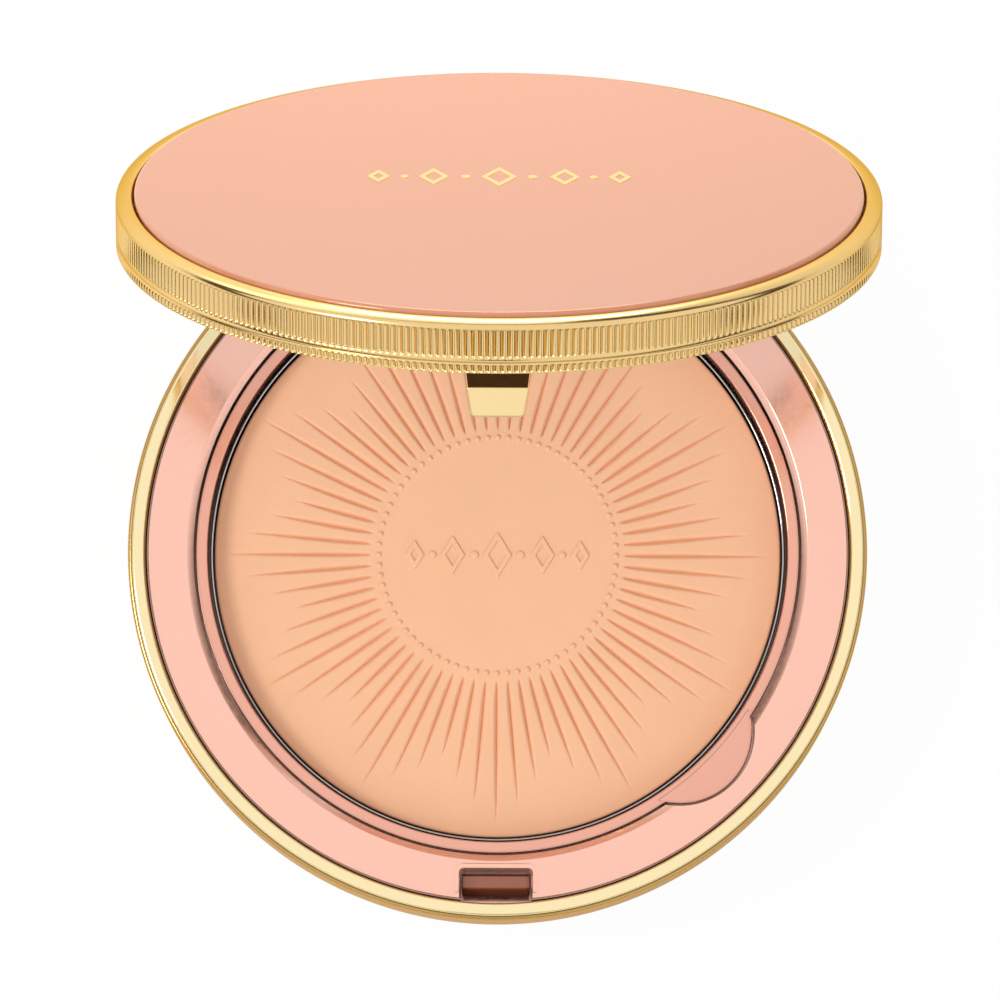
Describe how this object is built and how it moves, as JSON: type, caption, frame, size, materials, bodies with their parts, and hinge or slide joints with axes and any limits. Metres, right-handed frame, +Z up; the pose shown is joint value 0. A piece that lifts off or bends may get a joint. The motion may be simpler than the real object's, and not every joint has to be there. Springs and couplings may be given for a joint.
{
  "type": "powder compact",
  "caption": "Round mirrored powder compact with a fluted rim on the lid, a low rear hinge, a snap latch, and a hinged tray that holds a pressed powder pan over a puff well.",
  "frame": {"origin": "centre of the flat bottom of the base", "axes": "+Z up, the front of the case with its latch faces -Y, the hinge is at +Y, +X to the right"},
  "size_m": [0.0769, 0.089, 0.083],
  "materials": {
    "case_gold": "satin gold anodised",
    "trim_gold": "polished gold",
    "fluted_gold": "satin gold, fluted",
    "hinge_gold": "satin gold",
    "rose_gloss": "glossy rose moulding",
    "rose_tray": "glossy rose moulding",
    "rose_lacquer": "lacquered rose disc",
    "rose_matte": "plain moulded plastic",
    "catch_brown": "glossy brown",
    "steel": "drawn steel",
    "pan_metal": "pressed aluminium",
    "powder": "pressed powder",
    "puff_foam": "soft foam",
    "adhesive": "adhesive sheet",
    "mirror": "silvered glass"
  },
  "bodies": {
    "base": {"base_shell": "case_gold", "bottom_disc": "rose_gloss", "trim_ring": "trim_gold", "inner_frame": "rose_gloss", "puff_well": "rose_matte", "powder_puff": "puff_foam", "latch_catch": "catch_brown", "base_knuckles": "hinge_gold", "hinge_pin": "steel", "tray_pin": "steel"},
    "tray": {"tray": "rose_tray", "pan_adhesive": "adhesive", "powder_pan": "pan_metal", "powder_cake": "powder"},
    "lid": {"lid_bezel": "fluted_gold", "lid_disc": "rose_lacquer", "disc_adhesive": "adhesive", "lid_core": "rose_matte", "mirror_frame": "rose_gloss", "mirror_glass": "mirror", "mirror_adhesive": "adhesive", "latch_hook": "trim_gold", "hinge_leaf": "hinge_gold"}
  },
  "joints": [
    {"name": "lid_hinge", "type": "hinge", "parent": "base", "child": "lid", "pos_m": [0, 0.0389, 0.0085], "axis": [-1, 0, 0], "range_deg": [-62, 48]},
    {"name": "tray_hinge", "type": "hinge", "parent": "base", "child": "tray", "pos_m": [0, 0.0326, 0.0139], "axis": [-1, 0, 0], "range_deg": [0, 2.4]}
  ]
}
